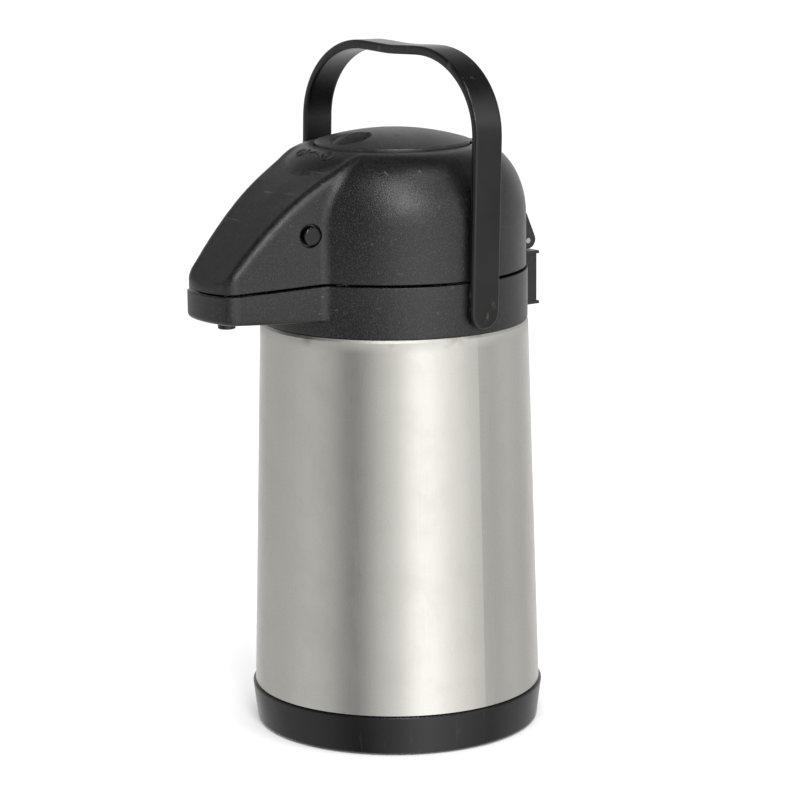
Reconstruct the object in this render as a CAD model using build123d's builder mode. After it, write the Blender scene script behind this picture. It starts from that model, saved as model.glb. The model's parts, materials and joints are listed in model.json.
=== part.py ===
from build123d import *
import math
import os

# Push-button thermal coffee airpot, in millimetres.
# +Z is up, the spout beak points along -Y, and the origin is the centre of the underside.

os.makedirs("parts", exist_ok=True)

# ---------------------------------------------------------------- driving dimensions
WALL = 2.2                  # moulded plastic wall
STEEL = 0.8                 # sheet steel wall
GLASS = 1.5                 # flask wall
FIT = 0.05                  # radial play of a turning fit
PLAY = 0.3                  # gap between neighbouring pieces

BASE_R_LOW = 76.8           # foot of the tapered base ring
BASE_R_TOP = 79.3
BASE_FOOT_ROUND = 2.0
BASE_TOP = 21.5
BASE_BORE_R = 73.2
PLATE_R = 66.0
PLATE_T = 2.6
SUPPORT_Z = 4.8             # underside of the flask support's disc

CASING_R_LOW = 77.9
CASING_R_TOP = 72.2
CASING_NECK_R = 73.0        # stepped-in end of the casing that sits inside the base ring
CASING_TOP = 222.0

COLLAR_R = 71.9
SEAM_Z = 249.5              # parting line between collar and head
SEAM_GAP = 1.4
DROOP_Y = -55.0             # ahead of here the parting line slopes down to the beak tip
DROOP_END = (-130.0, 2.25)  # y, and how far the line has dropped there
DECK_Z = 232.0
DECK_T = 2.5
DECK_BORE_R = 45.2

BEAK_TIP_Y = 123.5
BEAK_CORNER_Y = 118.8
BEAK_TIP_W = 20.2           # half widths
BEAK_ROOT_W = 34.8
BEAK_ROOT_Y = 30.0
BEAK_CORNER_R = 8.9
BEAK_EDGE_R = 5.0
BEAK_BLEND_R = 8.0          # hollow blend between beak and body
TRAY_FLOOR = ((-55.0, 229.4), (-130.0, 233.4))
TRAY_LIP = 0.8              # how far the tray stands proud of the beak above it

HEAD_R = 71.1
HEAD_BOTTOM = SEAM_Z + SEAM_GAP
HEAD_STRAIGHT_TOP = 278.0
HEAD_RIM_R = 44.0
HEAD_TOP = 316.0
BEAK_BACK = ((-127.7, 246.0), (-115.4, 261.4), (-100.6, 277.1), (-84.9, 290.9),
             (-68.6, 302.0), (-52.6, 310.9), (-38.0, 315.8))
BEAK_BACK_TANGENTS = ((0.60, 0.80), (1, 0.02))

WELL_R = 42.5               # bore that guides the press plate
WELL_FLOOR = 276.0
PRESS_R = 41.4
PRESS_RIM_Z = 317.6
PRESS_CROWN_Z = 324.0
PRESS_SKIRT_Z = 300.0
PRESS_T = 2.2
PLUNGER_Z = 296.5
POST_TOP = 318.0            # where the plunger's posts meet the press plate
BELLOWS_R = (28.0, 33.0)    # valleys and peaks of the folds
BELLOWS_WALL = 1.3

DIAL_Y = -28.3              # centre of the lock dial on the press plate
DIAL_R = 12.3
DIAL_DEPTH = 5.5
FIN_T = 2.6

INNER_PLATE_Z = 252.3
INNER_PLATE_T = 2.0

HINGE_Y = 80.0
HINGE_Z = 257.5
HINGE_PIN_R = 1.5
KNUCKLE_R = 4.2
KNUCKLE_W = 10.0            # half width of the fixed knuckle
EAR_T = 5.5
BRACKET_W = 20.0            # half width
BRACKET_TOP = 252.2
BRACKET_BOTTOM = 222.8
BRACKET_SCREW_X = 13.0
BRACKET_SCREW_Z = 236.5

BAIL_OUT_X = 76.8
BAIL_ARM_T = 4.2
BAIL_W = 18.0
BAIL_TOP_Z = 369.1
BAIL_BAR_T = 4.9
BAIL_LEAN = 1.6             # degrees, rearwards
BAIL_Y = 2.0
BAIL_Z = 234.5
BAIL_PIN_R = 4.0

BUTTON_Y = -73.8
BUTTON_Z = 276.2
BUTTON_R = 4.8
BUTTON_HOLE_R = 6.2

FLASK_R = 67.0
FLASK_NECK_R = 37.0
FLASK_BOTTOM = 14.0
FLASK_RIM = 222.0
FLASK_GAP = 3.5             # evacuated space between the two glass walls
STOPPER_R = 31.6
STOPPER_TOP = 236.5

PIPE_R = 4.0
PIPE_BORE_R = 3.0
PIPE_Z = 243.0
PIPE_END_Z = 236.3
PIPE_JOINT_Z = 229.5        # where the siphon tube meets the spout pipe
PIPE_BEND_R = 6.0
NOZZLE_Y = -108.4
NOZZLE_Z = 228.2
AIR_PORT_Y = 18.0

SIDES = (1, -1)


# ---------------------------------------------------------------- shared forms
def save(builder, name):
    """Label a finished piece and write it to its own file."""
    builder.part.label = name
    export_step(builder.part, f"parts/{name}.step")


def ring(r_out, r_in, z_low, z_high):
    """A plain ring about the body axis."""
    with BuildPart() as part:
        with BuildSketch(Plane.XY.offset(z_low)):
            Circle(r_out)
            Circle(r_in, mode=Mode.SUBTRACT)
        extrude(amount=z_high - z_low)
    return part


def turned(*outline):
    """A solid turned about the body axis from a closed (radius, height) outline."""
    with BuildPart() as part:
        with BuildSketch(Plane.XZ):
            with BuildLine():
                Polyline(*outline, close=True)
            make_face()
        revolve(axis=Axis.Z)
    return part


def screws(places, z_head, length, head_r, shank_r):
    """A group of countersunk screws, heads down, one at each place."""
    slope = head_r - shank_r
    with BuildPart() as part:
        with Locations(*[(x, y, z_head) for x, y in places]):
            Cone(head_r, shank_r, slope, align=(Align.CENTER, Align.CENTER, Align.MIN))
            Cylinder(shank_r, length, align=(Align.CENTER, Align.CENTER, Align.MIN))
    return part


def polar(radius, count, start=90.0):
    """Evenly spaced (x, y) places round the body axis."""
    angles = [math.radians(start + 360.0 * k / count) for k in range(count)]
    return [(radius * math.cos(a), radius * math.sin(a)) for a in angles]


def beak_plan(z, inset=0.0):
    """Plan of the beak: sides flaring towards the body and a blunt, bowed tip."""
    tip, root = BEAK_TIP_W - inset, BEAK_ROOT_W - inset
    corner_y = -(BEAK_CORNER_Y - inset)
    with BuildSketch(Plane.XY.offset(z)) as plan:
        with BuildLine():
            Polyline((tip, corner_y), (root, -BEAK_ROOT_Y), (-root, -BEAK_ROOT_Y), (-tip, corner_y))
            ThreePointArc((-tip, corner_y), (0, -(BEAK_TIP_Y - inset)), (tip, corner_y))
        make_face()
        fillet(plan.vertices().group_by(Axis.Y)[0], BEAK_CORNER_R - inset)
    return plan.sketch


def beak_and_body_plan(z, r_body, outset=0.0):
    """The beak plan, grown by outset, joined to the round body by hollow blends."""
    with BuildSketch(Plane.XY.offset(z)) as plan:
        add(beak_plan(0.0, -outset))
        Circle(r_body)
        corners = plan.vertices().filter_by(lambda v: abs(math.hypot(v.X, v.Y) - r_body) < 0.01)
        fillet(corners.filter_by(lambda v: v.Y < -BEAK_ROOT_Y), BEAK_BLEND_R)
    return plan.sketch


def seam_prism(z, above=True):
    """Everything above (or below) the parting surface, shifted to height z at the body."""
    far_y, drop = DROOP_END
    limit = z + 120.0 if above else z - 60.0
    with BuildPart() as prism:
        with BuildSketch(Plane.YZ):
            with BuildLine():
                Polyline((100, z), (DROOP_Y, z), (far_y, z - drop), (far_y, limit), (100, limit), close=True)
            make_face()
        extrude(amount=100, both=True)
    return prism.part


def wall_place(side, depth=0.0):
    """Plane on the outside of the beak's side wall at the release button, facing outwards."""
    flare = (BEAK_ROOT_W - BEAK_TIP_W) / (BEAK_CORNER_Y - BEAK_ROOT_Y)
    half_width = BEAK_ROOT_W + (BUTTON_Y + BEAK_ROOT_Y) * flare
    outward = Vector(side, -flare, 0).normalized()
    origin = Vector(side * half_width, BUTTON_Y, BUTTON_Z) + outward * depth
    return Plane(origin=origin, x_dir=(0, 0, 1), z_dir=outward)


# ---------------------------------------------------------------- base
with BuildPart() as base_ring:
    with BuildSketch(Plane.XZ):
        with BuildLine():
            Polyline((PLATE_R + PLAY, 0.4), (BASE_R_LOW, 0.4), (BASE_R_TOP, BASE_TOP - 1.0),
                     (BASE_R_TOP, BASE_TOP), (BASE_BORE_R, BASE_TOP), (BASE_BORE_R, 5.0),
                     (PLATE_R + PLAY, 5.0), close=True)
        make_face()
        with BuildLine():
            Polyline((68.4, 0.0), (72.6, 0.0), (72.6, 2.2), (68.4, 2.2), close=True)
        make_face(mode=Mode.SUBTRACT)
    revolve(axis=Axis.Z)
    rims = base_ring.edges().filter_by(GeomType.CIRCLE)
    fillet(rims.filter_by(lambda e: abs(e.radius - BASE_R_LOW) < 0.1), BASE_FOOT_ROUND)
    fillet(base_ring.edges().filter_by(GeomType.CIRCLE).filter_by(
        lambda e: abs(e.radius - BASE_R_TOP) < 0.1 and e.center().Z > BASE_TOP - 0.1), 0.7)
save(base_ring, "base_ring")

rubber_foot = ring(72.5, 68.5, 0.0, 2.1)
save(rubber_foot, "rubber_foot")

BASE_SCREWS = polar(56.0, 3)
with BuildPart() as base_plate:
    with BuildSketch():
        Circle(PLATE_R)
    extrude(amount=PLATE_T)
    with BuildSketch(Plane.XY.offset(PLATE_T)):
        Circle(36)
        Circle(33, mode=Mode.SUBTRACT)
    extrude(amount=2.0)
    with BuildSketch():
        Circle(46)
        Circle(40, mode=Mode.SUBTRACT)
    extrude(amount=0.8, mode=Mode.SUBTRACT)
    with Locations(*[Location((x, y, 0), (180, 0, 0)) for x, y in BASE_SCREWS]):
        CounterSinkHole(2.2, 4.0, depth=PLATE_T)
save(base_plate, "base_plate")

base_screws = screws(BASE_SCREWS, 0.3, 12.0, 3.6, 2.0)
save(base_screws, "base_screws")

with BuildPart() as flask_support:
    with BuildSketch(Plane.XY.offset(SUPPORT_Z)):
        Circle(64)
        Circle(28, mode=Mode.SUBTRACT)
    extrude(amount=2.4)
    with BuildSketch(Plane.XY.offset(PLATE_T)):
        with Locations(*BASE_SCREWS):
            Circle(5)
    extrude(amount=SUPPORT_Z - PLATE_T)
    with BuildSketch(Plane.XY.offset(SUPPORT_Z)):
        Circle(52)
        Circle(46, mode=Mode.SUBTRACT)
    extrude(amount=15.0)
    with BuildSketch(Plane.XY.offset(PLATE_T)):
        with Locations(*BASE_SCREWS):
            Circle(2.0)
    extrude(amount=30.0, mode=Mode.SUBTRACT)
save(flask_support, "flask_support")

flask_cushion = turned((46, 19.8), (52, 19.8), (52, 26.6), (46, 23.2))
save(flask_cushion, "flask_cushion")

# ---------------------------------------------------------------- steel casing
steel_casing = turned(
    (CASING_NECK_R, 8.0), (CASING_NECK_R, BASE_TOP + 0.1), (CASING_R_LOW - 0.4, BASE_TOP + 0.1),
    (CASING_R_LOW, BASE_TOP + 0.6), (CASING_R_TOP, CASING_TOP - 1.4),
    (CASING_R_TOP - 0.9, CASING_TOP), (66.0, CASING_TOP), (66.0, CASING_TOP - STEEL),
    (CASING_R_TOP - 1.6, CASING_TOP - STEEL), (CASING_R_TOP - STEEL, CASING_TOP - 1.9),
    (CASING_R_LOW - STEEL, BASE_TOP + 0.1 + STEEL), (CASING_NECK_R - STEEL, BASE_TOP + 0.1 + STEEL),
    (CASING_NECK_R - STEEL, 8.0))
save(steel_casing, "steel_casing")


# ---------------------------------------------------------------- vacuum flask
def bottle(r_body, r_neck, z_bottom, z_rim, shoulder_shift=0.0):
    """Solid bottle form: domed floor, straight body, drawn-in shoulder, straight neck."""
    floor_depth = 36.0
    shoulder_low = 176.0 + shoulder_shift
    shoulder_high = 203.0 + shoulder_shift
    with BuildPart() as part:
        with BuildSketch(Plane.XZ):
            with BuildLine():
                EllipticalCenterArc((0, z_bottom + floor_depth), r_body, floor_depth, 270, arc_size=90)
                Line((r_body, z_bottom + floor_depth), (r_body, shoulder_low))
                Spline((r_body, shoulder_low), (r_neck, shoulder_high), tangents=((0, 1), (0, 1)))
                Polyline((r_neck, shoulder_high), (r_neck, z_rim), (0, z_rim), (0, z_bottom))
            make_face()
        revolve(axis=Axis.Z)
    return part.part


with BuildPart() as flask_outer_wall:
    add(bottle(FLASK_R, FLASK_NECK_R, FLASK_BOTTOM, FLASK_RIM))
    add(bottle(FLASK_R - GLASS, FLASK_NECK_R - GLASS, FLASK_BOTTOM + GLASS, FLASK_RIM + 1, -1.0),
        mode=Mode.SUBTRACT)
save(flask_outer_wall, "flask_outer_wall")

INNER_SINK = GLASS + FLASK_GAP
with BuildPart() as flask_inner_wall:
    add(bottle(FLASK_R - INNER_SINK, FLASK_NECK_R - FLASK_GAP, FLASK_BOTTOM + INNER_SINK, FLASK_RIM, -4.0))
    with BuildSketch(Plane.XY.offset(FLASK_RIM)):
        Circle(FLASK_NECK_R)
    extrude(amount=GLASS)
    add(bottle(FLASK_R - INNER_SINK - GLASS, FLASK_NECK_R - INNER_SINK, FLASK_BOTTOM + INNER_SINK + GLASS,
               FLASK_RIM + 5, -5.0), mode=Mode.SUBTRACT)
save(flask_inner_wall, "flask_inner_wall")

NECK_TOP = FLASK_RIM + GLASS
neck_gasket = ring(37.5, 32.4, NECK_TOP, NECK_TOP + 2.0)
save(neck_gasket, "neck_gasket")

neck_ring = turned((34.2, NECK_TOP + 2.0), (44.8, NECK_TOP + 2.0), (44.8, DECK_Z + DECK_T),
                   (50.0, DECK_Z + DECK_T), (50.0, STOPPER_TOP), (34.2, STOPPER_TOP))
save(neck_ring, "neck_ring")

# ---------------------------------------------------------------- collar with the beak tray
(floor_y0, floor_z0), (floor_y1, floor_z1) = TRAY_FLOOR


def tray_space(lift):
    """Everything above the sloping tray floor, raised by lift."""
    with BuildPart() as prism:
        with BuildSketch(Plane.YZ):
            with BuildLine():
                Polyline((30, floor_z0 + lift), (floor_y0, floor_z0 + lift), (floor_y1, floor_z1 + lift),
                         (floor_y1, 300), (30, 300), close=True)
            make_face()
        extrude(amount=100, both=True)
    return prism.part


with BuildPart() as tray:
    with BuildSketch(Plane.XY.offset(225)):
        add(beak_and_body_plan(0.0, COLLAR_R, TRAY_LIP))
    extrude(amount=40)
    add(tray_space(0.0), mode=Mode.INTERSECT)
    underside = tray.faces().sort_by(Axis.Z)[:2].edges()
    fillet(underside.filter_by(lambda e: e.center().Y < -78), 3.6)

with BuildPart() as shoulder_collar:
    with BuildSketch(Plane.XY.offset(CASING_TOP)):
        Circle(COLLAR_R)
    extrude(amount=SEAM_Z - CASING_TOP)
    fillet(shoulder_collar.edges().group_by(Axis.Z)[0], 1.4)
    add(tray.part)
    add(seam_prism(SEAM_Z), mode=Mode.SUBTRACT)
    with BuildSketch(Plane.XY.offset(CASING_TOP)):
        Circle(COLLAR_R - 2.5)
    extrude(amount=DECK_Z - CASING_TOP, mode=Mode.SUBTRACT)
    with BuildSketch(Plane.XY.offset(DECK_Z + DECK_T)):
        Circle(COLLAR_R - 2.5)
    extrude(amount=40, mode=Mode.SUBTRACT)
    with BuildPart(mode=Mode.PRIVATE) as tray_hollow:
        with BuildSketch(Plane.XY.offset(225)):
            add(beak_plan(0.0, WALL))
        extrude(amount=40)
        add(tray_space(2.4), mode=Mode.INTERSECT)
    add(tray_hollow.part, mode=Mode.SUBTRACT)
    with BuildSketch(Plane.XY.offset(DECK_Z - 1)):
        Circle(DECK_BORE_R)
    extrude(amount=10, mode=Mode.SUBTRACT)
    with Locations((0, NOZZLE_Y, 230)):
        Cylinder(4.8, 20, mode=Mode.SUBTRACT)
    for side in SIDES:
        with BuildSketch(Plane.YZ.offset(side * COLLAR_R)):
            with Locations((BAIL_Y, BAIL_Z)):
                Circle(BAIL_PIN_R)
        extrude(amount=-side * 12, mode=Mode.SUBTRACT)
save(shoulder_collar, "shoulder_collar")

# ---------------------------------------------------------------- hinge and bail pins on the collar
with BuildPart() as hinge_bracket:
    with BuildSketch(Plane.XY.offset(BRACKET_BOTTOM)):
        with Locations((0, 74.5)):
            Rectangle(2 * BRACKET_W, 17.0)
    extrude(amount=BRACKET_TOP - BRACKET_BOTTOM)
    with BuildSketch(Plane.XY.offset(BRACKET_BOTTOM)):
        with Locations((0, 75.2)):
            Rectangle(2 * BRACKET_W + 1.0, 18.6)
    extrude(amount=1.6)
    with BuildSketch(Plane.XY.offset(BRACKET_TOP - 1.6)):
        with Locations((0, 75.2)):
            Rectangle(2 * BRACKET_W + 1.0, 18.6)
    extrude(amount=1.6)
    with BuildSketch(Plane.YZ):
        with Locations((HINGE_Y, HINGE_Z)):
            Circle(KNUCKLE_R)
        with Locations((HINGE_Y, (HINGE_Z + 245.0) / 2)):
            Rectangle(2 * KNUCKLE_R, HINGE_Z - 245.0)
    extrude(amount=KNUCKLE_W, both=True)
    with BuildSketch(Plane.XY.offset(220)):
        Circle(COLLAR_R)
    extrude(amount=SEAM_Z - 220, mode=Mode.SUBTRACT)
    with BuildSketch(Plane.XY.offset(SEAM_Z)):
        Circle(COLLAR_R + 0.4)
    extrude(amount=10, mode=Mode.SUBTRACT)
    with BuildSketch(Plane.YZ):
        with Locations((HINGE_Y, HINGE_Z)):
            Circle(HINGE_PIN_R)
    extrude(amount=30, both=True, mode=Mode.SUBTRACT)
    with Locations(*[Location((side * BRACKET_SCREW_X, 90, BRACKET_SCREW_Z), (90, 0, 0)) for side in SIDES]):
        Cylinder(1.6, 40, mode=Mode.SUBTRACT)
save(hinge_bracket, "hinge_bracket")

with BuildPart() as bracket_screws:
    with Locations(*[Location((side * BRACKET_SCREW_X, 83.05, BRACKET_SCREW_Z), (90, 0, 0)) for side in SIDES]):
        Cylinder(1.6, 8.0, align=(Align.CENTER, Align.CENTER, Align.MIN))
        Cylinder(3.0, 1.2, align=(Align.CENTER, Align.CENTER, Align.MAX))
    with Locations(*[Location((side * BRACKET_SCREW_X, 84.25, BRACKET_SCREW_Z), (90, 0, 0)) for side in SIDES]):
        Box(4.2, 0.8, 0.7, align=(Align.CENTER, Align.CENTER, Align.MIN), mode=Mode.SUBTRACT)
        Box(0.8, 4.2, 0.7, align=(Align.CENTER, Align.CENTER, Align.MIN), mode=Mode.SUBTRACT)
save(bracket_screws, "bracket_screws")

with BuildPart() as hinge_pin:
    with BuildSketch(Plane.YZ):
        with Locations((HINGE_Y, HINGE_Z)):
            Circle(HINGE_PIN_R)
    extrude(amount=KNUCKLE_W + PLAY + EAR_T + 0.8, both=True)
save(hinge_pin, "hinge_pin")

with BuildPart() as bail_pins:
    for side in SIDES:
        with BuildSketch(Plane.YZ.offset(side * 62)):
            with Locations((BAIL_Y, BAIL_Z)):
                Circle(BAIL_PIN_R)
        extrude(amount=side * 12.6)
save(bail_pins, "bail_pins")

with BuildPart() as latch_strikes:
    with BuildSketch(Plane.XY.offset(246.0)):
        add(beak_plan(0.0, WALL))
        add(beak_plan(0.0, WALL + 2.4), mode=Mode.SUBTRACT)
        with Locations((0, BUTTON_Y)):
            Rectangle(60, 8, mode=Mode.INTERSECT)
    extrude(amount=1.6)
save(latch_strikes, "latch_strikes")

# ---------------------------------------------------------------- stopper, siphon and spout
stopper = turned((0, 206.0), (STOPPER_R, 206.0), (STOPPER_R, 212.0), (29.6, 212.0), (29.6, 216.0),
                 (STOPPER_R, 216.0), (STOPPER_R, STOPPER_TOP), (41.0, STOPPER_TOP),
                 (41.0, STOPPER_TOP + 2.0), (0, STOPPER_TOP + 2.0))
with stopper:
    with Locations((0, 0, 220)):
        Cylinder(PIPE_R + FIT, 60, mode=Mode.SUBTRACT)
    with Locations((0, 0, STOPPER_TOP + 1.5)):
        Cylinder(PIPE_R + 2.0, 3.0, mode=Mode.SUBTRACT)
    with Locations((0, AIR_PORT_Y, 220)):
        Cylinder(4.0, 60, mode=Mode.SUBTRACT)
save(stopper, "stopper")

stopper_gasket = ring(31.9, 29.6, 212.0, 216.0)
save(stopper_gasket, "stopper_gasket")

siphon_tube = ring(PIPE_R, PIPE_BORE_R, 26.0, PIPE_JOINT_Z)
save(siphon_tube, "siphon_tube")

with BuildPart() as siphon_foot:
    with BuildSketch(Plane.XY.offset(23.0)):
        Circle(6.0)
        Circle(PIPE_BORE_R, mode=Mode.SUBTRACT)
    extrude(amount=3.0)
    with BuildSketch(Plane.XY.offset(26.0)):
        Circle(6.0)
        Circle(PIPE_R + FIT, mode=Mode.SUBTRACT)
    extrude(amount=8.0)
    with Locations((0, 0, 23.8)):
        Box(14, 1.8, 1.6, mode=Mode.SUBTRACT)
        Box(1.8, 14, 1.6, mode=Mode.SUBTRACT)
save(siphon_foot, "siphon_foot")

valve_seat = ring(PIPE_BORE_R - FIT, 1.9, 210.0, 212.0)
save(valve_seat, "valve_seat")

with BuildPart() as check_ball:
    with Locations((0, 0, 213.9)):
        Sphere(2.6)
save(check_ball, "check_ball")

with BuildPart() as spout_pipe:
    with BuildLine(Plane.YZ) as route:
        FilletPolyline((0, PIPE_JOINT_Z), (0, PIPE_Z), (NOZZLE_Y, PIPE_Z), (NOZZLE_Y, PIPE_END_Z),
                       radius=PIPE_BEND_R)
    with BuildSketch(Plane.XY.offset(PIPE_JOINT_Z)):
        Circle(PIPE_R)
        Circle(PIPE_BORE_R, mode=Mode.SUBTRACT)
    sweep(path=route.line)
save(spout_pipe, "spout_pipe")

with BuildPart() as nozzle:
    with BuildSketch(Plane.XY.offset(NOZZLE_Z)):
        with Locations((0, NOZZLE_Y)):
            Circle(4.6)
    extrude(amount=PIPE_END_Z - NOZZLE_Z)
    fillet(nozzle.edges().group_by(Axis.Z)[0], 0.6)
    with BuildSketch(Plane.XY.offset(PIPE_END_Z)):
        with Locations((0, NOZZLE_Y)):
            Circle(6.0)
    extrude(amount=-1.0)
    with Locations((0, NOZZLE_Y, 230)):
        Cylinder(PIPE_BORE_R, 20, mode=Mode.SUBTRACT)
save(nozzle, "nozzle")


# ---------------------------------------------------------------- head shell
def dome(inset=0.0):
    """Solid dome of the head: a straight wall, then a quarter ellipse up to the rim."""
    wall_r = HEAD_R - inset
    foot = HEAD_BOTTOM - 6.0
    with BuildPart() as part:
        with BuildSketch(Plane.XZ):
            with BuildLine():
                Line((wall_r, foot), (wall_r, HEAD_STRAIGHT_TOP))
                EllipticalCenterArc((HEAD_RIM_R, HEAD_STRAIGHT_TOP), wall_r - HEAD_RIM_R,
                                    HEAD_TOP - HEAD_STRAIGHT_TOP - inset, 0, arc_size=90)
                Polyline((HEAD_RIM_R, HEAD_TOP - inset), (0, HEAD_TOP - inset), (0, foot), (wall_r, foot))
            make_face()
        revolve(axis=Axis.Z)
    return part.part


def beak(inset=0.0):
    """Solid upper beak: its plan, cut to the swept line of its back."""
    back = [(y + inset, z - inset) for y, z in BEAK_BACK]
    start, end = back[0], back[-1]
    with BuildPart() as part:
        with BuildSketch(Plane.XY.offset(CASING_TOP)):
            add(beak_plan(0.0, inset))
        extrude(amount=HEAD_TOP - CASING_TOP + 10.0)
        with BuildSketch(Plane.YZ):
            with BuildLine():
                Spline(*back, tangents=BEAK_BACK_TANGENTS)
                Polyline(end, (0, end[1]), (0, CASING_TOP - 1), (start[0], CASING_TOP - 1), start)
            make_face()
        extrude(amount=60, both=True, mode=Mode.INTERSECT)
    return part


def is_level(edge):
    """True for an edge lying in a horizontal plane."""
    return edge.bounding_box().size.Z < 0.01


def is_upright(edge):
    """True for an edge that runs straight up."""
    size = edge.bounding_box().size
    return size.X < 0.01 and size.Y < 0.01


def round_beak_back(part):
    """Round the rim between the beak's back and its side and front walls."""
    with part:
        rim = part.edges().filter_by(lambda e: e.bounding_box().size.Z > 0.02 and not is_upright(e))
        fillet(rim.filter_by(lambda e: e.center().Z > SEAM_Z and e.center().Y < -BEAK_ROOT_Y - 1), BEAK_EDGE_R)
    return part.part


def is_blend_edge(edge):
    """True for the inside corners where the beak's sides run into the dome."""
    middle = edge.center()
    size = edge.bounding_box().size
    beside = abs(middle.X) > 24 and -66 < middle.Y < -44 and size.Y < 24
    radius = math.hypot(middle.X, middle.Y)
    return beside and middle.Z > SEAM_Z and (abs(radius - HEAD_R) < 0.3 or middle.Z > HEAD_STRAIGHT_TOP)


EAR_IN = KNUCKLE_W + PLAY
EAR_OUT = EAR_IN + EAR_T
HEAD_POSTS = polar(58.0, 4, start=45.0)

with BuildPart() as head_shell:
    add(dome())
    add(round_beak_back(beak()))
    fillet(head_shell.edges().filter_by(is_blend_edge), BEAK_BLEND_R)
    with BuildSketch(Plane.YZ) as ear_profile:
        with BuildLine():
            Polyline((60, 252.6), (60, 288), (67, 284.8), (73, 280.2), (79.6, 272.4))
            CenterArc((HINGE_Y + 0.9, HINGE_Z + 0.3), KNUCKLE_R + 0.6, 0, 360)
        make_hull()
    extrude(amount=EAR_OUT, both=True)
    add(seam_prism(HEAD_BOTTOM), mode=Mode.INTERSECT)
    add(dome(WALL), mode=Mode.SUBTRACT)
    add(beak(WALL).part, mode=Mode.SUBTRACT)
    with BuildSketch(Plane.XY.offset(WELL_FLOOR)):
        Circle(WELL_R + 2.0)
    extrude(amount=HEAD_TOP - 0.5 - WELL_FLOOR)
    with BuildSketch(Plane.XY.offset(INNER_PLATE_Z + INNER_PLATE_T)):
        with Locations(*HEAD_POSTS):
            Circle(4.0)
    extrude(amount=50.0)
    with BuildSketch(Plane.XY.offset(WELL_FLOOR - 1)):
        Circle(WELL_R)
    extrude(amount=80, mode=Mode.SUBTRACT)
    with Locations(*[(x, y, INNER_PLATE_Z) for x, y in HEAD_POSTS]):
        Cylinder(1.4, 24, mode=Mode.SUBTRACT)
    with Locations((0, (HINGE_Y - KNUCKLE_R - 0.6 + 95) / 2, (HINGE_Z + KNUCKLE_R + 0.7 + 240) / 2)):
        Box(2 * EAR_IN, 95 - HINGE_Y + KNUCKLE_R + 0.6, HINGE_Z + KNUCKLE_R + 0.7 - 240, mode=Mode.SUBTRACT)
    with BuildSketch(Plane.YZ):
        with Locations((HINGE_Y, HINGE_Z)):
            Circle(HINGE_PIN_R + FIT)
    extrude(amount=40, both=True, mode=Mode.SUBTRACT)
    for side in SIDES:
        with BuildSketch(wall_place(side, 4.0)):
            Circle(BUTTON_HOLE_R)
        extrude(amount=-12, mode=Mode.SUBTRACT)
save(head_shell, "head_shell")

# ---------------------------------------------------------------- inside the head
LATCH_X = 16.7              # middle of each latch arm
LATCH_Y = -71.8
INNER_PLATE_TIP_Y = -116.6

with BuildPart() as inner_plate:
    with BuildSketch(Plane.XY.offset(INNER_PLATE_Z)):
        Circle(HEAD_R - WALL - 0.4)
        add(beak_plan(0.0, WALL + 0.5))
        with Locations((0, INNER_PLATE_TIP_Y - 10)):
            Rectangle(60, 20, mode=Mode.SUBTRACT)
    extrude(amount=INNER_PLATE_T)
    with BuildSketch(Plane.XY.offset(INNER_PLATE_Z + INNER_PLATE_T)):
        Circle(36.0)
        Circle(34.2, mode=Mode.SUBTRACT)
        with Locations((0, LATCH_Y)):
            Rectangle(9.0, 9.0)
    extrude(amount=2.0)
    with BuildSketch(Plane.XY.offset(INNER_PLATE_Z + INNER_PLATE_T)):
        with Locations((0, LATCH_Y)):
            Rectangle(9.0, 9.0)
    extrude(amount=26.0)
    with BuildSketch(Plane.XY.offset(STOPPER_TOP + 4.3)):
        with Locations((0, AIR_PORT_Y)):
            Circle(7.5)
    extrude(amount=INNER_PLATE_Z - STOPPER_TOP - 4.3)
    with Locations((0, AIR_PORT_Y, 240)):
        Cylinder(5.0, 60, mode=Mode.SUBTRACT)
    with BuildSketch(Plane.XY.offset(INNER_PLATE_Z)):
        with Locations(*[(side * (LATCH_X + 0.3), LATCH_Y + 0.3) for side in SIDES]):
            Rectangle(11.0, 10.4)
        with Locations(*HEAD_POSTS):
            Circle(1.7)
    extrude(amount=INNER_PLATE_T, mode=Mode.SUBTRACT)
save(inner_plate, "inner_plate")

inner_plate_screws = screws(HEAD_POSTS, INNER_PLATE_Z - 1.7, 12.0, 3.0, 1.3)
save(inner_plate_screws, "inner_plate_screws")

with BuildPart() as air_port_seal:
    with BuildSketch(Plane.XY.offset(STOPPER_TOP + 2.3)):
        with Locations((0, AIR_PORT_Y)):
            Circle(8.0)
            Circle(5.0, mode=Mode.SUBTRACT)
    extrude(amount=2.0)
save(air_port_seal, "air_port_seal")

with BuildPart() as air_valve_flap:
    with BuildSketch(Plane.XY.offset(INNER_PLATE_Z + INNER_PLATE_T)):
        with Locations((0, AIR_PORT_Y)):
            Circle(7.0)
    extrude(amount=0.8)
save(air_valve_flap, "air_valve_flap")

BELLOWS_Z = (INNER_PLATE_Z + INNER_PLATE_T, PLUNGER_Z)
FOLDS = 7
fold_height = (BELLOWS_Z[1] - BELLOWS_Z[0]) / (2 * FOLDS)
fold_line = [(BELLOWS_R[k % 2], BELLOWS_Z[0] + k * fold_height) for k in range(2 * FOLDS + 1)]
bellows = turned(*fold_line, *[(r - BELLOWS_WALL, z) for r, z in reversed(fold_line)])
save(bellows, "bellows")


def coil(radius, wire, pitch, start, length, direction=(0, 0, 1)):
    """A coil spring of round wire starting at a point and running along a direction."""
    with BuildPart() as part:
        with BuildLine() as path:
            Helix(pitch=pitch, height=length, radius=radius, center=start, direction=direction)
        with BuildSketch(Plane(origin=path.line @ 0, z_dir=path.line % 0)):
            Circle(wire)
        sweep(path=path.line, is_frenet=True)
    return part


return_spring = coil(8.0, 0.9, 6.6, (0, 0, BELLOWS_Z[0] + 1.2), BELLOWS_Z[1] - BELLOWS_Z[0] - 2.4)
save(return_spring, "return_spring")

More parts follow.
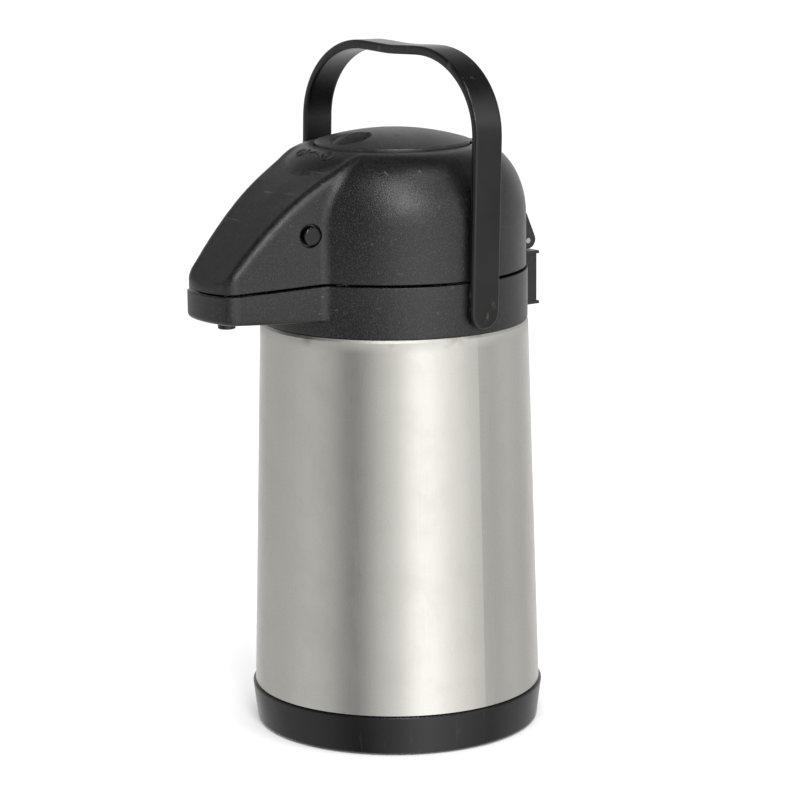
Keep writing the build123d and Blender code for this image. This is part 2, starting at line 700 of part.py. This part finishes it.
# ---------------------------------------------------------------- press plate and lock dial
cap_rise = PRESS_CROWN_Z - PRESS_RIM_Z
CAP_R = (PRESS_R ** 2 + cap_rise ** 2) / (2 * cap_rise)
CAP_CENTRE_Z = PRESS_CROWN_Z - CAP_R
dial_lean = math.asin(-DIAL_Y / CAP_R)
DIAL_NORMAL = Vector(0, -math.sin(dial_lean), math.cos(dial_lean))
DIAL_PLACE = Plane(origin=Vector(0, 0, CAP_CENTRE_Z) + DIAL_NORMAL * CAP_R, x_dir=(1, 0, 0), z_dir=DIAL_NORMAL)
BOWL_R = (DIAL_R ** 2 + DIAL_DEPTH ** 2) / (2 * DIAL_DEPTH)
BOWL_RISE = BOWL_R - DIAL_DEPTH
POSTS = polar(22.0, 3)


def cap(inset, floor_z):
    """Solid under the domed top of the press plate, down to floor_z."""
    radius = CAP_R - inset
    edge_r = PRESS_R - inset
    edge_z = CAP_CENTRE_Z + math.sqrt(radius ** 2 - edge_r ** 2)
    mid_r = edge_r / 2
    with BuildPart() as part:
        with BuildSketch(Plane.XZ):
            with BuildLine():
                ThreePointArc((0, CAP_CENTRE_Z + radius),
                              (mid_r, CAP_CENTRE_Z + math.sqrt(radius ** 2 - mid_r ** 2)), (edge_r, edge_z))
                Polyline((edge_r, edge_z), (edge_r, floor_z), (0, floor_z), (0, CAP_CENTRE_Z + radius))
            make_face()
        revolve(axis=Axis.Z)
    return part.part


with BuildPart() as press_plate:
    add(cap(0.0, PRESS_SKIRT_Z))
    fillet(press_plate.edges().filter_by(is_level).sort_by(Axis.Z)[-1], 0.8)
    add(cap(PRESS_T, PRESS_SKIRT_Z - 1), mode=Mode.SUBTRACT)
    with BuildPart(mode=Mode.PRIVATE) as inserts:
        with Locations(DIAL_PLACE.offset(BOWL_RISE)):
            Sphere(BOWL_R + 1.8)
        with BuildSketch(Plane.XY.offset(POST_TOP)):
            with Locations(*POSTS):
                Circle(4.2)
        extrude(amount=8)
        add(cap(PRESS_T / 2, PRESS_SKIRT_Z + 8), mode=Mode.INTERSECT)
    add(inserts.part)
    with Locations(DIAL_PLACE.offset(BOWL_RISE)):
        Sphere(BOWL_R, mode=Mode.SUBTRACT)
    with BuildSketch(DIAL_PLACE.offset(-DIAL_DEPTH - 0.6)):
        Circle(6.1)
    extrude(amount=3, mode=Mode.SUBTRACT)
    with BuildSketch(DIAL_PLACE.offset(-DIAL_DEPTH - 4)):
        Circle(2.2 + FIT)
    extrude(amount=8, mode=Mode.SUBTRACT)
    with BuildSketch(Plane.XY.offset(POST_TOP - 1)):
        with Locations(*POSTS):
            Circle(1.3)
    extrude(amount=5, mode=Mode.SUBTRACT)
save(press_plate, "press_plate")

with BuildPart() as plunger:
    with BuildSketch(Plane.XY.offset(PLUNGER_Z)):
        Circle(BELLOWS_R[1])
    extrude(amount=2.5)
    with BuildSketch(Plane.XY.offset(PLUNGER_Z + 2.5)):
        with Locations(*POSTS):
            Circle(4.0)
    extrude(amount=POST_TOP - PLUNGER_Z - 2.5)
    with BuildSketch(Plane.XY.offset(PLUNGER_Z - 4)):
        Circle(6.0)
    extrude(amount=4)
    with Locations(*[(x, y, PLUNGER_Z) for x, y in POSTS]):
        Cylinder(1.6, 80, mode=Mode.SUBTRACT)
save(plunger, "plunger")

plunger_screws = screws(POSTS, PLUNGER_Z - 1.8, 26.0, 3.0, 1.3)
save(plunger_screws, "plunger_screws")

with BuildPart() as lock_dial:
    with BuildSketch(DIAL_PLACE.offset(-DIAL_DEPTH - 0.5)):
        Circle(5.8)
    extrude(amount=1.6)
    with BuildSketch(Plane(origin=DIAL_PLACE.origin, x_dir=(0, DIAL_NORMAL.Z, -DIAL_NORMAL.Y), z_dir=(1, 0, 0))):
        with BuildLine():
            ThreePointArc((-11.9, -0.4), (0, 2.0), (11.9, -0.4))
            ThreePointArc((11.9, -0.4), (0, 0.3 - DIAL_DEPTH), (-11.9, -0.4))
        make_face()
    extrude(amount=FIN_T / 2, both=True)
    with BuildSketch(DIAL_PLACE.offset(-DIAL_DEPTH - 7.5)):
        Circle(2.2)
    extrude(amount=7.5)
save(lock_dial, "lock_dial")

with BuildPart() as lock_cam:
    with BuildSketch(DIAL_PLACE.offset(-DIAL_DEPTH - 5.5)):
        SlotOverall(16.0, 6.5)
        Circle(2.2, mode=Mode.SUBTRACT)
    extrude(amount=2.0)
save(lock_cam, "lock_cam")

# ---------------------------------------------------------------- release buttons
for side, hand in ((1, "right"), (-1, "left")):
    with BuildPart() as release_button:
        with BuildSketch(wall_place(side, -4.2)):
            Circle(BUTTON_R)
        extrude(amount=6.6)
        face_rim = release_button.edges().filter_by(GeomType.CIRCLE).sort_by(Axis.X)
        fillet(face_rim[-1] if side > 0 else face_rim[0], 1.1)
        with BuildSketch(wall_place(side, -4.2)):
            Circle(BUTTON_HOLE_R + 1.2)
        extrude(amount=1.6)
        with BuildSketch(wall_place(side, -12.6)):
            Circle(3.0)
        extrude(amount=8.6)
        with Locations((side * LATCH_X, LATCH_Y, 260.8)):
            Box(3.0, 8.0, 35.6)
        with Locations((side * (LATCH_X + 3.1), LATCH_Y, 244.2)):
            Box(3.2, 8.0, 2.4)
    save(release_button, f"release_button_{hand}")

with BuildPart() as button_springs:
    for side in SIDES:
        add(coil(3.2, 0.35, 1.5, (side * 5.0, LATCH_Y, BUTTON_Z), 6.4, (side, 0, 0)).part)
save(button_springs, "button_springs")

# ---------------------------------------------------------------- bail handle
lean = math.radians(BAIL_LEAN)
BAIL_PLANE = Plane(origin=(0, BAIL_Y, BAIL_Z), x_dir=(1, 0, 0), z_dir=(0, -math.cos(lean), math.sin(lean)))
bar_out = BAIL_TOP_Z - BAIL_Z
bar_in = bar_out - BAIL_BAR_T
SHOULDER_X, SHOULDER_V = 26.0, 90.0
END_R = BAIL_W / 2


def bow(arm_x, bar_v, dip):
    """One edge of the bail seen from the front: arm, elliptical shoulder, bar, and back down."""
    rise = bar_v - SHOULDER_V
    Line((arm_x, -END_R), (arm_x, SHOULDER_V))
    EllipticalCenterArc((SHOULDER_X, SHOULDER_V), arm_x - SHOULDER_X, rise, 0, arc_size=90)
    Spline((SHOULDER_X, bar_v), (0, bar_v - dip), (-SHOULDER_X, bar_v), tangents=((-1, 0), (-1, 0)))
    EllipticalCenterArc((-SHOULDER_X, SHOULDER_V), arm_x - SHOULDER_X, rise, 90, arc_size=90)
    Line((-arm_x, SHOULDER_V), (-arm_x, -END_R))


def is_bail_outside(edge):
    """True for the long edges round the outside of the bail."""
    middle = BAIL_PLANE.to_local_coords(edge.center())
    on_arm = abs(abs(middle.X) - BAIL_OUT_X) < 0.01
    on_bow = middle.Y > SHOULDER_V + 2 and edge.length > 30
    outside = math.hypot(abs(middle.X) - SHOULDER_X, middle.Y - SHOULDER_V) > 43.6 or middle.Y > bar_in + 3
    return on_arm or (on_bow and outside)


with BuildPart() as bail_handle:
    with BuildSketch(BAIL_PLANE):
        with BuildLine():
            bow(BAIL_OUT_X, bar_out, 0.8)
            Line((-BAIL_OUT_X, -END_R), (BAIL_OUT_X, -END_R))
        make_face()
        with BuildLine():
            bow(BAIL_OUT_X - BAIL_ARM_T, bar_in, 0.8)
            Line((-BAIL_OUT_X + BAIL_ARM_T, -END_R), (BAIL_OUT_X - BAIL_ARM_T, -END_R))
        make_face(mode=Mode.SUBTRACT)
    extrude(amount=END_R, both=True)
    fillet(bail_handle.edges().filter_by(Axis.X), END_R - 0.05)
    outer_edges = bail_handle.edges().filter_by(is_bail_outside)
    fillet(outer_edges, 1.6)
    for side in SIDES:
        with BuildSketch(Plane.YZ.offset(side * 70)):
            with Locations((BAIL_Y, BAIL_Z)):
                Circle(BAIL_PIN_R + FIT)
        extrude(amount=side * 4.9, mode=Mode.SUBTRACT)
save(bail_handle, "bail_handle")
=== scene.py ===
import json
import math

import bmesh
import bpy
from mathutils import Matrix, Vector
from mathutils.bvhtree import BVHTree


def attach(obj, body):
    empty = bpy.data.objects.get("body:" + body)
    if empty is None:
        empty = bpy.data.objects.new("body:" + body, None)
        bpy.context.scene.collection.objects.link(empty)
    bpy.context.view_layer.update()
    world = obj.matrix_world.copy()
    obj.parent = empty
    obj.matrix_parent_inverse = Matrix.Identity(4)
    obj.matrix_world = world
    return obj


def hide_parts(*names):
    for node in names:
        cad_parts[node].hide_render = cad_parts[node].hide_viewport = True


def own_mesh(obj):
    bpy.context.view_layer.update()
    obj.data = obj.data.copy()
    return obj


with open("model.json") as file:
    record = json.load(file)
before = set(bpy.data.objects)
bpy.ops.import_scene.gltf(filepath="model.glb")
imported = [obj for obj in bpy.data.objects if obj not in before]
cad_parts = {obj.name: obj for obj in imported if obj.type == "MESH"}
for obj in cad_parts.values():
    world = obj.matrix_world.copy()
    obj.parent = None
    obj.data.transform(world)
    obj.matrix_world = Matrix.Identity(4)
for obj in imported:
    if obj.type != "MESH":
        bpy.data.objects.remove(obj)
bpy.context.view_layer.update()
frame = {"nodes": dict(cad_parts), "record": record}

nodes = frame["nodes"]
MM = 0.001


# ---------------------------------------------------------------- node helpers
class Nodes:
    """Short ways to add and link nodes in one material or world."""

    def __init__(self, tree):
        self.tree = tree

    def add(self, kind, **inputs):
        node = self.tree.nodes.new(kind)
        for key, value in inputs.items():
            self.feed(node.inputs[key.replace("_", " ")], value)
        return node

    def feed(self, socket, value):
        if isinstance(value, bpy.types.NodeSocket):
            self.tree.links.new(value, socket)
        else:
            socket.default_value = value

    def coords(self, scale=(1, 1, 1)):
        source = self.tree.nodes.new("ShaderNodeTexCoord").outputs["Object"]
        mapping = self.add("ShaderNodeMapping", Vector=source)
        mapping.inputs["Scale"].default_value = scale
        return mapping.outputs["Vector"]

    def noise(self, scale, detail=3.0, rough=0.55, stretch=(1, 1, 1), distortion=0.0):
        node = self.add("ShaderNodeTexNoise", Vector=self.coords(stretch), Scale=scale, Detail=detail,
                        Roughness=rough, Distortion=distortion)
        return node.outputs["Fac"]

    def ramp(self, value, low, high, out_low=0.0, out_high=1.0):
        node = self.add("ShaderNodeMapRange", Value=value)
        node.inputs["From Min"].default_value = low
        node.inputs["From Max"].default_value = high
        node.inputs["To Min"].default_value = out_low
        node.inputs["To Max"].default_value = out_high
        return node.outputs["Result"]

    def math(self, kind, a, b=0.0):
        node = self.tree.nodes.new("ShaderNodeMath")
        node.operation = kind
        self.feed(node.inputs[0], a)
        self.feed(node.inputs[1], b)
        return node.outputs[0]

    def mix(self, fac, a, b):
        node = self.tree.nodes.new("ShaderNodeMix")
        node.data_type = "RGBA"
        self.feed(node.inputs["Factor"], fac)
        self.feed(node.inputs[6], a)
        self.feed(node.inputs[7], b)
        return node.outputs[2]

    def bump(self, height, strength, distance, normal=None):
        node = self.add("ShaderNodeBump", Height=height, Strength=strength, Distance=distance)
        if normal is not None:
            self.feed(node.inputs["Normal"], normal)
        return node.outputs["Normal"]

    def height(self):
        """Height above the underside, at rest."""
        return self.add("ShaderNodeSeparateXYZ", Vector=self.coords()).outputs["Z"]

    def soft_edges(self, radius):
        """Normals rounded over the edges, so that they catch the light."""
        node = self.add("ShaderNodeBevel", Radius=radius)
        node.samples = 6
        return node.outputs["Normal"]

    def painted_edge_highlight(self, low, high):
        """1 on convex edges, 0 on flats: the mask of the painted edge highlight."""
        pointy = self.tree.nodes.new("ShaderNodeNewGeometry").outputs["Pointiness"]
        return self.ramp(pointy, low, high)


def material(name, **fixed):
    """A new material and its node helper; fixed values go on the shader's own sockets."""
    mat = bpy.data.materials.new(name)
    mat.use_nodes = True
    tree = mat.node_tree
    shader = next(n for n in tree.nodes if n.type == "BSDF_PRINCIPLED")
    for key, value in fixed.items():
        shader.inputs[key.replace("_", " ")].default_value = value
    return mat, Nodes(tree), shader


def rgb(value, warm=0.0):
    return (value * (1 + warm), value, value * (1 - warm), 1.0)


# ---------------------------------------------------------------- materials
DUST = 0.09                             # grey level of dust and scratches on black plastic
SCUFF_BROWN = (0.075, 0.045, 0.035, 1)
SCUFF_FADE = 0.02                       # metres over which the scuffs set in
BAIL_SCUFF_TOP = 0.262                  # the bail's arms are rubbed below this height
STEEL_LOW = (0.605, 0.592, 0.550, 1)
STEEL_HIGH = (0.665, 0.652, 0.612, 1)
STEEL_DULL = (0.46, 0.44, 0.40, 1)
WATER_MARK = (0.30, 0.22, 0.15, 1)
RIM_BAND = (0.2150, 0.2200)             # heights between which the casing's rim marks set in


def grained_plastic(name, dark, light, grain_scale, grain_depth, rough, edge_highlight_amount=0.3, gloss=1.0):
    """Black moulded plastic with a fine sandy grain, faint dust, small scratches and a painted highlight on
    the convex edges.
    """
    mat, n, shader = material(name, Specular_IOR_Level=gloss)
    grain = n.noise(grain_scale, 2.0, 0.7)
    cloud = n.noise(22.0, 4.0)
    speck = n.ramp(n.noise(grain_scale * 1.1, 1.0), 0.52, 0.68)
    dust = n.math("MULTIPLY", n.ramp(n.noise(300.0, 1.0), 0.74, 0.78), n.ramp(cloud, 0.5, 0.6))
    hairs = n.ramp(n.noise(420.0, 1.0, stretch=(0.07, 1, 0.8), distortion=0.6), 0.74, 0.78)
    tone = n.mix(n.ramp(cloud, 0.35, 0.7), rgb(dark), rgb(light))
    tone = n.mix(n.math("MULTIPLY", speck, 0.8), tone, rgb(light * 22.0))
    tone = n.mix(n.math("MULTIPLY", n.math("MAXIMUM", dust, hairs), 0.5), tone, rgb(DUST))
    # painted highlight: convex edges lightened to stand in for the light they catch
    tone = n.mix(n.math("MULTIPLY", n.painted_edge_highlight(0.53, 0.62), edge_highlight_amount), tone, rgb(light * 14.0))
    n.feed(shader.inputs["Base Color"], tone)
    n.feed(shader.inputs["Roughness"], n.ramp(cloud, 0.3, 0.75, rough - 0.05, rough + 0.06))
    n.feed(shader.inputs["Normal"], n.bump(grain, grain_depth, 0.00014, n.soft_edges(0.0008)))
    return mat


def smooth_plastic(name, dark, light, rough, scratch=0.4, scuff_top=None):
    """Satin black plastic with hairline scratches and slight haze, scuffed below scuff_top."""
    mat, n, shader = material(name, Specular_IOR_Level=0.5)
    haze = n.noise(34.0, 5.0)
    lines = n.ramp(n.noise(260.0, 2.0, stretch=(1, 1, 0.06), distortion=0.4), 0.66, 0.72)
    tone = n.mix(n.ramp(haze, 0.35, 0.7), rgb(dark), rgb(light))
    tone = n.mix(n.math("MULTIPLY", lines, scratch), tone, rgb(0.022))
    # painted highlight: convex edges lightened to stand in for the light they catch
    tone = n.mix(n.math("MULTIPLY", n.painted_edge_highlight(0.54, 0.64), 0.5), tone, rgb(0.022))
    if scuff_top is not None:
        low = n.ramp(n.height(), scuff_top, scuff_top - SCUFF_FADE)
        patch = n.ramp(n.noise(240.0, 4.0, 0.7, stretch=(1, 1, 0.4)), 0.60, 0.66)
        tone = n.mix(n.math("MULTIPLY", n.math("MULTIPLY", low, patch), 0.7), tone, SCUFF_BROWN)
    n.feed(shader.inputs["Base Color"], tone)
    n.feed(shader.inputs["Roughness"], n.ramp(haze, 0.3, 0.75, rough - 0.06, rough + 0.08))
    n.feed(shader.inputs["Normal"], n.bump(n.noise(420.0, 2.0), 0.12, 0.0002, n.soft_edges(0.0006)))
    return mat


def casing_steel():
    """Satin rolled steel: fine lengthwise brushing, soft mottling and faint brown marks near the rim."""
    mat, n, shader = material("casing_steel", Metallic=1.0, Anisotropic=0.35)
    brush = n.noise(900.0, 3.0, stretch=(1, 1, 0.03))
    mottle = n.noise(60.0, 5.0, 0.6)
    broad = n.noise(9.0, 3.0, stretch=(1, 1, 0.5))
    tone = n.mix(n.ramp(broad, 0.3, 0.7), STEEL_LOW, STEEL_HIGH)
    tone = n.mix(n.math("MULTIPLY", n.ramp(mottle, 0.45, 0.7), 0.14), tone, STEEL_DULL)
    near_rim = n.ramp(n.height(), *RIM_BAND)
    spots = n.ramp(n.noise(46.0, 4.0), 0.56, 0.72)
    tone = n.mix(n.math("MULTIPLY", n.math("MULTIPLY", near_rim, spots), 0.6), tone, WATER_MARK)
    n.feed(shader.inputs["Base Color"], tone)
    rough = n.math("ADD", n.ramp(brush, 0.3, 0.7, 0.25, 0.28), n.ramp(mottle, 0.3, 0.8, -0.02, 0.05))
    rough = n.math("ADD", rough, n.math("MULTIPLY", near_rim, 0.22))
    n.feed(shader.inputs["Roughness"], rough)
    relief = n.bump(brush, 0.04, 0.00005)
    n.feed(shader.inputs["Normal"], n.bump(mottle, 0.10, 0.0004, relief))
    return mat


def bright_steel(name, tone_low, tone_high, rough):
    """Turned or drawn steel with fine marks and a little tarnish."""
    mat, n, shader = material(name, Metallic=1.0)
    marks = n.noise(700.0, 3.0, stretch=(1, 1, 0.1))
    stain = n.noise(80.0, 4.0)
    tone = n.mix(n.ramp(stain, 0.4, 0.7), rgb(tone_high, 0.01), rgb(tone_low, 0.03))
    n.feed(shader.inputs["Base Color"], tone)
    n.feed(shader.inputs["Roughness"], n.ramp(marks, 0.3, 0.7, rough - 0.05, rough + 0.08))
    n.feed(shader.inputs["Normal"], n.bump(marks, 0.15, 0.0001))
    return mat


def soft_rubber(name, tone_low, tone_high, warm=0.0):
    """Matte rubber or silicone with a dusty bloom."""
    mat, n, shader = material(name, Specular_IOR_Level=0.35)
    bloom = n.noise(70.0, 4.0)
    tone = n.mix(n.ramp(bloom, 0.35, 0.7), rgb(tone_low, warm), rgb(tone_high, warm))
    n.feed(shader.inputs["Base Color"], tone)
    n.feed(shader.inputs["Roughness"], n.ramp(bloom, 0.3, 0.7, 0.62, 0.8))
    n.feed(shader.inputs["Normal"], n.bump(n.noise(900.0, 2.0), 0.2, 0.0002))
    return mat


def silvered_glass():
    """Silvered flask glass with faint ripples and thin patches in the silver."""
    mat, n, shader = material("silvered_glass", Metallic=1.0, Coat_Weight=0.6, Coat_Roughness=0.03)
    ripple = n.noise(26.0, 3.0)
    thin = n.ramp(n.noise(14.0, 5.0), 0.6, 0.75)
    n.feed(shader.inputs["Base Color"], n.mix(thin, (0.86, 0.87, 0.9, 1), (0.66, 0.64, 0.62, 1)))
    n.feed(shader.inputs["Roughness"], n.ramp(ripple, 0.3, 0.7, 0.04, 0.12))
    n.feed(shader.inputs["Normal"], n.bump(ripple, 0.2, 0.0006))
    return mat


finish = {
    "black_plastic": grained_plastic("black_plastic", 0.0006, 0.0014, 1500.0, 1.0, 0.34, gloss=0.57),
    # press plate: a lighter base colour than black_plastic, a painted sheen standing in for the bright
    # reflection on its top
    "press_plastic": grained_plastic("press_plastic", 0.003, 0.003, 1700.0, 0.8, 0.40, gloss=0.85),
    "base_plastic": smooth_plastic("base_plastic", 0.0006, 0.0015, 0.28),
    "bail_plastic": smooth_plastic("bail_plastic", 0.0008, 0.003, 0.28, 0.8, BAIL_SCUFF_TOP),
    "button_plastic": smooth_plastic("button_plastic", 0.0005, 0.001, 0.20, 0.2),
    "inner_plastic": grained_plastic("inner_plastic", 0.03, 0.045, 700.0, 0.25, 0.5, 0.2),
    "casing_steel": casing_steel(),
    "steel_hardware": bright_steel("steel_hardware", 0.42, 0.62, 0.28),
    "siphon_steel": bright_steel("siphon_steel", 0.5, 0.68, 0.22),
    "silvered_glass": silvered_glass(),
    "black_rubber": soft_rubber("black_rubber", 0.014, 0.022),
    "pump_rubber": soft_rubber("pump_rubber", 0.02, 0.032),
    "seal_silicone": soft_rubber("seal_silicone", 0.52, 0.62, 0.05),
}
for part in frame["record"]["subparts"]:
    node_object = nodes[part["node"]]
    node_object.data.materials.clear()
    node_object.data.materials.append(finish[part["material_slot"]])


# ---------------------------------------------------------------- copies of the bellows and return spring, carried with the head
for node_name, piece_name, slot in (("bellows", "bellows_folds", "pump_rubber"),
                                    ("return_spring", "return_coil", "steel_hardware")):
    folding = nodes[node_name].copy()
    folding.name = piece_name
    folding.data = nodes[node_name].data.copy()
    bpy.context.scene.collection.objects.link(folding)
    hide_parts(node_name)
    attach(folding, "head")
    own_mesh(folding)


# ---------------------------------------------------------------- raised marks in front of the press plate
def on_head(x, y):
    """The point and normal of the head's top at (x, y)."""
    place, normal, _, _ = head_tree.ray_cast(Vector((x, y, ABOVE_HEAD)), Vector((0, 0, -1)))
    return place, normal


def raised_stroke(name, path, half_width, rise):
    """A slim rounded ridge that follows the head's surface along an (x, y) path."""
    mesh_maker = bmesh.new()
    rings = []
    last = len(path) - 1
    turns = [2 * math.pi * step / STROKE_SIDES for step in range(STROKE_SIDES)]
    for k, (x, y) in enumerate(path):
        ahead, behind = path[min(k + 1, last)], path[max(k - 1, 0)]
        along = Vector((ahead[0] - behind[0], ahead[1] - behind[1], 0)).normalized()
        place, normal = on_head(x, y)
        out = along.cross(normal).normalized() * half_width
        taper = 0.5 if k in (0, last) else 1.0
        rings.append([mesh_maker.verts.new(place + (out * math.cos(t) + normal * rise * math.sin(t)) * taper)
                      for t in turns])
    for first, second in zip(rings, rings[1:]):
        for k in range(STROKE_SIDES):
            after = (k + 1) % STROKE_SIDES
            mesh_maker.faces.new((first[k], first[after], second[after], second[k]))
    mesh_maker.faces.new(list(reversed(rings[0])))
    mesh_maker.faces.new(rings[-1])
    bmesh.ops.recalc_face_normals(mesh_maker, faces=mesh_maker.faces)
    mesh = bpy.data.meshes.new(name)
    mesh_maker.to_mesh(mesh)
    mesh_maker.free()
    for face in mesh.polygons:
        face.use_smooth = True
    stroke = bpy.data.objects.new(name, mesh)
    bpy.context.scene.collection.objects.link(stroke)
    mesh.materials.append(finish["black_plastic"])
    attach(stroke, "head")


def arc(centre, radius, start, sweep, count=24):
    """Points along a circular arc, angles in degrees."""
    angles = [math.radians(start + sweep * k / count) for k in range(count + 1)]
    return [(centre[0] + radius * math.cos(a), centre[1] + radius * math.sin(a)) for a in angles]


MARK_X = 0.0110             # each side of the middle
MARK_Y = -0.0505
MARK_R = 3.6 * MM
BAR_HALF = 1.6 * MM
ABOVE_HEAD = 0.34
STROKE = dict(half_width=0.50 * MM, rise=0.50 * MM)
STROKE_SIDES = 8
head_tree = BVHTree.FromObject(nodes["head_shell"], bpy.context.evaluated_depsgraph_get())
for label, middle, gap in (("lock_open_mark", -MARK_X, 70.0), ("lock_shut_mark", MARK_X, 8.0)):
    raised_stroke(f"{label}_ring", arc((middle, MARK_Y), MARK_R, 90.0 + gap / 2, 360.0 - gap), **STROKE)
    raised_stroke(f"{label}_bar", [(middle, MARK_Y - BAR_HALF), (middle, MARK_Y + BAR_HALF)], **STROKE)
raised_stroke("lock_turn_mark", arc((0.0, MARK_Y - 4.5 * MM), 5.0 * MM, 40.0, 100.0), **STROKE)


# ---------------------------------------------------------------- camera
AZIMUTH = math.radians(53.0)
EYE_DISTANCE = 1.6
EYE_HEIGHT = 0.5053
TARGET_HEIGHT = 0.1762
TARGET_SHIFT = 0.0028
CAMERA_ROLL = -0.0087
toward = Vector((math.sin(AZIMUTH), -math.cos(AZIMUTH), 0.0))
across = Vector((math.cos(AZIMUTH), math.sin(AZIMUTH), 0.0))
eye = toward * EYE_DISTANCE + Vector((0, 0, EYE_HEIGHT))
target = Vector((0, 0, TARGET_HEIGHT)) + across * TARGET_SHIFT
camera_data = bpy.data.cameras.new("camera")
camera_data.sensor_width = 36.0
camera_data.lens = 135.7
camera_data.clip_end = 50.0
camera = bpy.data.objects.new("camera", camera_data)
bpy.context.scene.collection.objects.link(camera)
aim = (target - eye).to_track_quat("-Z", "Y").to_matrix().to_4x4()
camera.matrix_world = Matrix.Translation(eye) @ aim @ Matrix.Rotation(CAMERA_ROLL, 4, "Z")
bpy.context.scene.camera = camera


# ---------------------------------------------------------------- floor, light and world
FLOOR_HALF = 12.0
HEAD = (0, 0, 0.28)         # what the lights point at
LIGHT_DISTANCE = 1.7

# level of each studio panel by its direction from the eye's side, in degrees
PANELS = [(-180, 1.05), (-142, 0.56), (-100, 0.56), (-74, 0.68), (-54, 0.58), (-34, 0.17),
          (-14, 0.70), (4, 0.95), (16, 1.65), (28, 1.65), (46, 1.15), (62, 1.0),
          (84, 0.48), (104, 0.72), (128, 0.56), (180, 1.05)]
CEILING = 0.11              # level overhead, in reflections
FILL = 1.15                 # level all round, for everything but reflections


def floor():
    mesh = bpy.data.meshes.new("floor")
    corners = [(x * FLOOR_HALF, y * FLOOR_HALF, 0) for x, y in ((-1, -1), (1, -1), (1, 1), (-1, 1))]
    mesh.from_pydata(corners, [], [(0, 1, 2, 3)])
    ground = bpy.data.objects.new("floor", mesh)
    bpy.context.scene.collection.objects.link(ground)
    mat, n, shader = material("floor", Roughness=0.9, Specular_IOR_Level=0.1)
    n.feed(shader.inputs["Base Color"], n.mix(n.noise(3.0, 2.0), rgb(0.93), rgb(0.96)))
    mesh.materials.append(mat)
    ground.visible_glossy = False


def softbox(name, place, look_at, width, height, power):
    data = bpy.data.lights.new(name, "AREA")
    data.shape = "RECTANGLE"
    data.size = width
    data.size_y = height
    data.energy = power
    lamp = bpy.data.objects.new(name, data)
    bpy.context.scene.collection.objects.link(lamp)
    lamp.location = place
    lamp.rotation_euler = (Vector(look_at) - Vector(place)).to_track_quat("-Z", "Y").to_euler()
    lamp.visible_camera = False
    return lamp


def round_about(degrees, elevation, distance):
    """A place round the head: degrees to the right of the eye's side, and up from the level."""
    turn, rise = math.radians(degrees), math.radians(elevation)
    level = toward * math.cos(turn) + across * math.sin(turn)
    return tuple(Vector(HEAD) + (level * math.cos(rise) + Vector((0, 0, math.sin(rise)))) * distance)


def studio_world():
    """A pale studio: white to the eye, and in reflections tall light and grey panels all round."""
    world = bpy.data.worlds.new("studio")
    bpy.context.scene.world = world
    world.use_nodes = True
    tree = world.node_tree
    n = Nodes(tree)
    back = next(k for k in tree.nodes if k.type == "BACKGROUND")
    ray = tree.nodes.new("ShaderNodeTexCoord").outputs["Generated"]
    split = n.add("ShaderNodeSeparateXYZ", Vector=ray)

    def along(direction):
        """How far the ray points along a level direction."""
        return n.math("ADD", n.math("MULTIPLY", split.outputs["X"], direction.x),
                      n.math("MULTIPLY", split.outputs["Y"], direction.y))

    turn = n.math("ARCTAN2", along(across), along(toward))
    panels = tree.nodes.new("ShaderNodeValToRGB")
    n.feed(panels.inputs["Fac"], n.ramp(turn, -math.pi, math.pi))
    ramp = panels.color_ramp
    while len(ramp.elements) < len(PANELS):
        ramp.elements.new(0.5)
    for element, (degrees, level) in zip(ramp.elements, PANELS):
        element.position = (degrees + 180.0) / 360.0
        element.color = rgb(level, 0.004)
    overhead = n.ramp(split.outputs["Z"], 0.12, 0.75)
    studio = n.mix(overhead, panels.outputs["Color"], rgb(CEILING))
    glossy = tree.nodes.new("ShaderNodeLightPath").outputs["Is Glossy Ray"]
    n.feed(back.inputs["Color"], n.mix(glossy, rgb(FILL), studio))
    back.inputs["Strength"].default_value = 1.0


floor()
studio_world()
softbox("key_light", round_about(12.0, 27.0, LIGHT_DISTANCE), HEAD, 0.42, 0.38, 8.0)
softbox("dome_light", round_about(2.0, 50.0, LIGHT_DISTANCE), HEAD, 0.45, 0.40, 5.5)
softbox("ridge_light", round_about(48.0, 62.0, LIGHT_DISTANCE), HEAD, 0.35, 0.35, 2.6)
softbox("side_light", round_about(72.0, 30.0, LIGHT_DISTANCE), HEAD, 0.60, 1.20, 3.0)

bpy.context.scene.view_settings.view_transform = "Standard"
